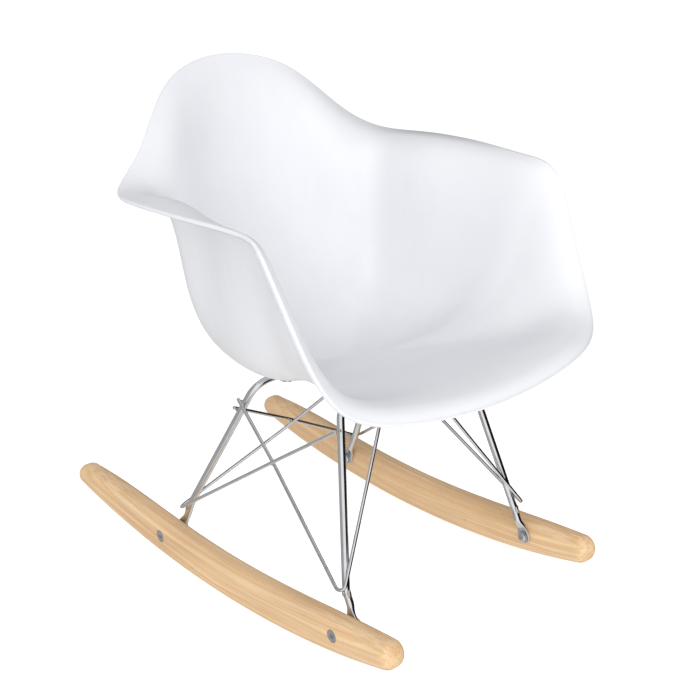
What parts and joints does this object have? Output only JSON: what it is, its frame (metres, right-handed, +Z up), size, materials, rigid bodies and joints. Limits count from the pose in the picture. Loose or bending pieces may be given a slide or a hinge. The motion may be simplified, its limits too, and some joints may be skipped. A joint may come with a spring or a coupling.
{
  "type": "rocking chair",
  "caption": "Child's rocking chair: a moulded bucket seat with arms on a braced frame of bent rod, standing on curved hardwood runners.",
  "frame": {"origin": "on the floor, under the middle of the chair's bounding box", "axes": "+Z up, the sitter faces -Y, +X is the sitter's left"},
  "size_m": [0.4008, 0.57, 0.5491],
  "materials": {
    "shell": "satin white moulded plastic",
    "runner": "pale close-grained hardwood, clear satin lacquer",
    "rod": "polished chrome plate",
    "zinc": "zinc plated",
    "brass": "as turned",
    "pad": "matt black"
  },
  "bodies": {
    "root": {"seat_shell": "shell", "left_rocker": "runner", "right_rocker": "runner", "front_leg_frame": "rod", "rear_leg_frame": "rod", "front_left_brace": "rod", "front_right_brace": "rod", "rear_left_brace": "rod", "rear_right_brace": "rod", "front_left_screw_washer": "zinc", "front_left_rocker_screw": "zinc", "front_left_sleeve_nut": "zinc", "front_left_mounting_tab": "rod", "front_left_rubber_pad": "pad", "front_left_threaded_insert": "brass", "front_left_seat_washer": "zinc", "front_left_seat_screw": "zinc", "front_right_screw_washer": "zinc", "front_right_rocker_screw": "zinc", "front_right_sleeve_nut": "zinc", "front_right_mounting_tab": "rod", "front_right_rubber_pad": "pad", "front_right_threaded_insert": "brass", "front_right_seat_washer": "zinc", "front_right_seat_screw": "zinc", "rear_left_screw_washer": "zinc", "rear_left_rocker_screw": "zinc", "rear_left_sleeve_nut": "zinc", "rear_left_mounting_tab": "rod", "rear_left_rubber_pad": "pad", "rear_left_threaded_insert": "brass", "rear_left_seat_washer": "zinc", "rear_left_seat_screw": "zinc", "rear_right_screw_washer": "zinc", "rear_right_rocker_screw": "zinc", "rear_right_sleeve_nut": "zinc", "rear_right_mounting_tab": "rod", "rear_right_rubber_pad": "pad", "rear_right_threaded_insert": "brass", "rear_right_seat_washer": "zinc", "rear_right_seat_screw": "zinc"}
  },
  "joints": []
}
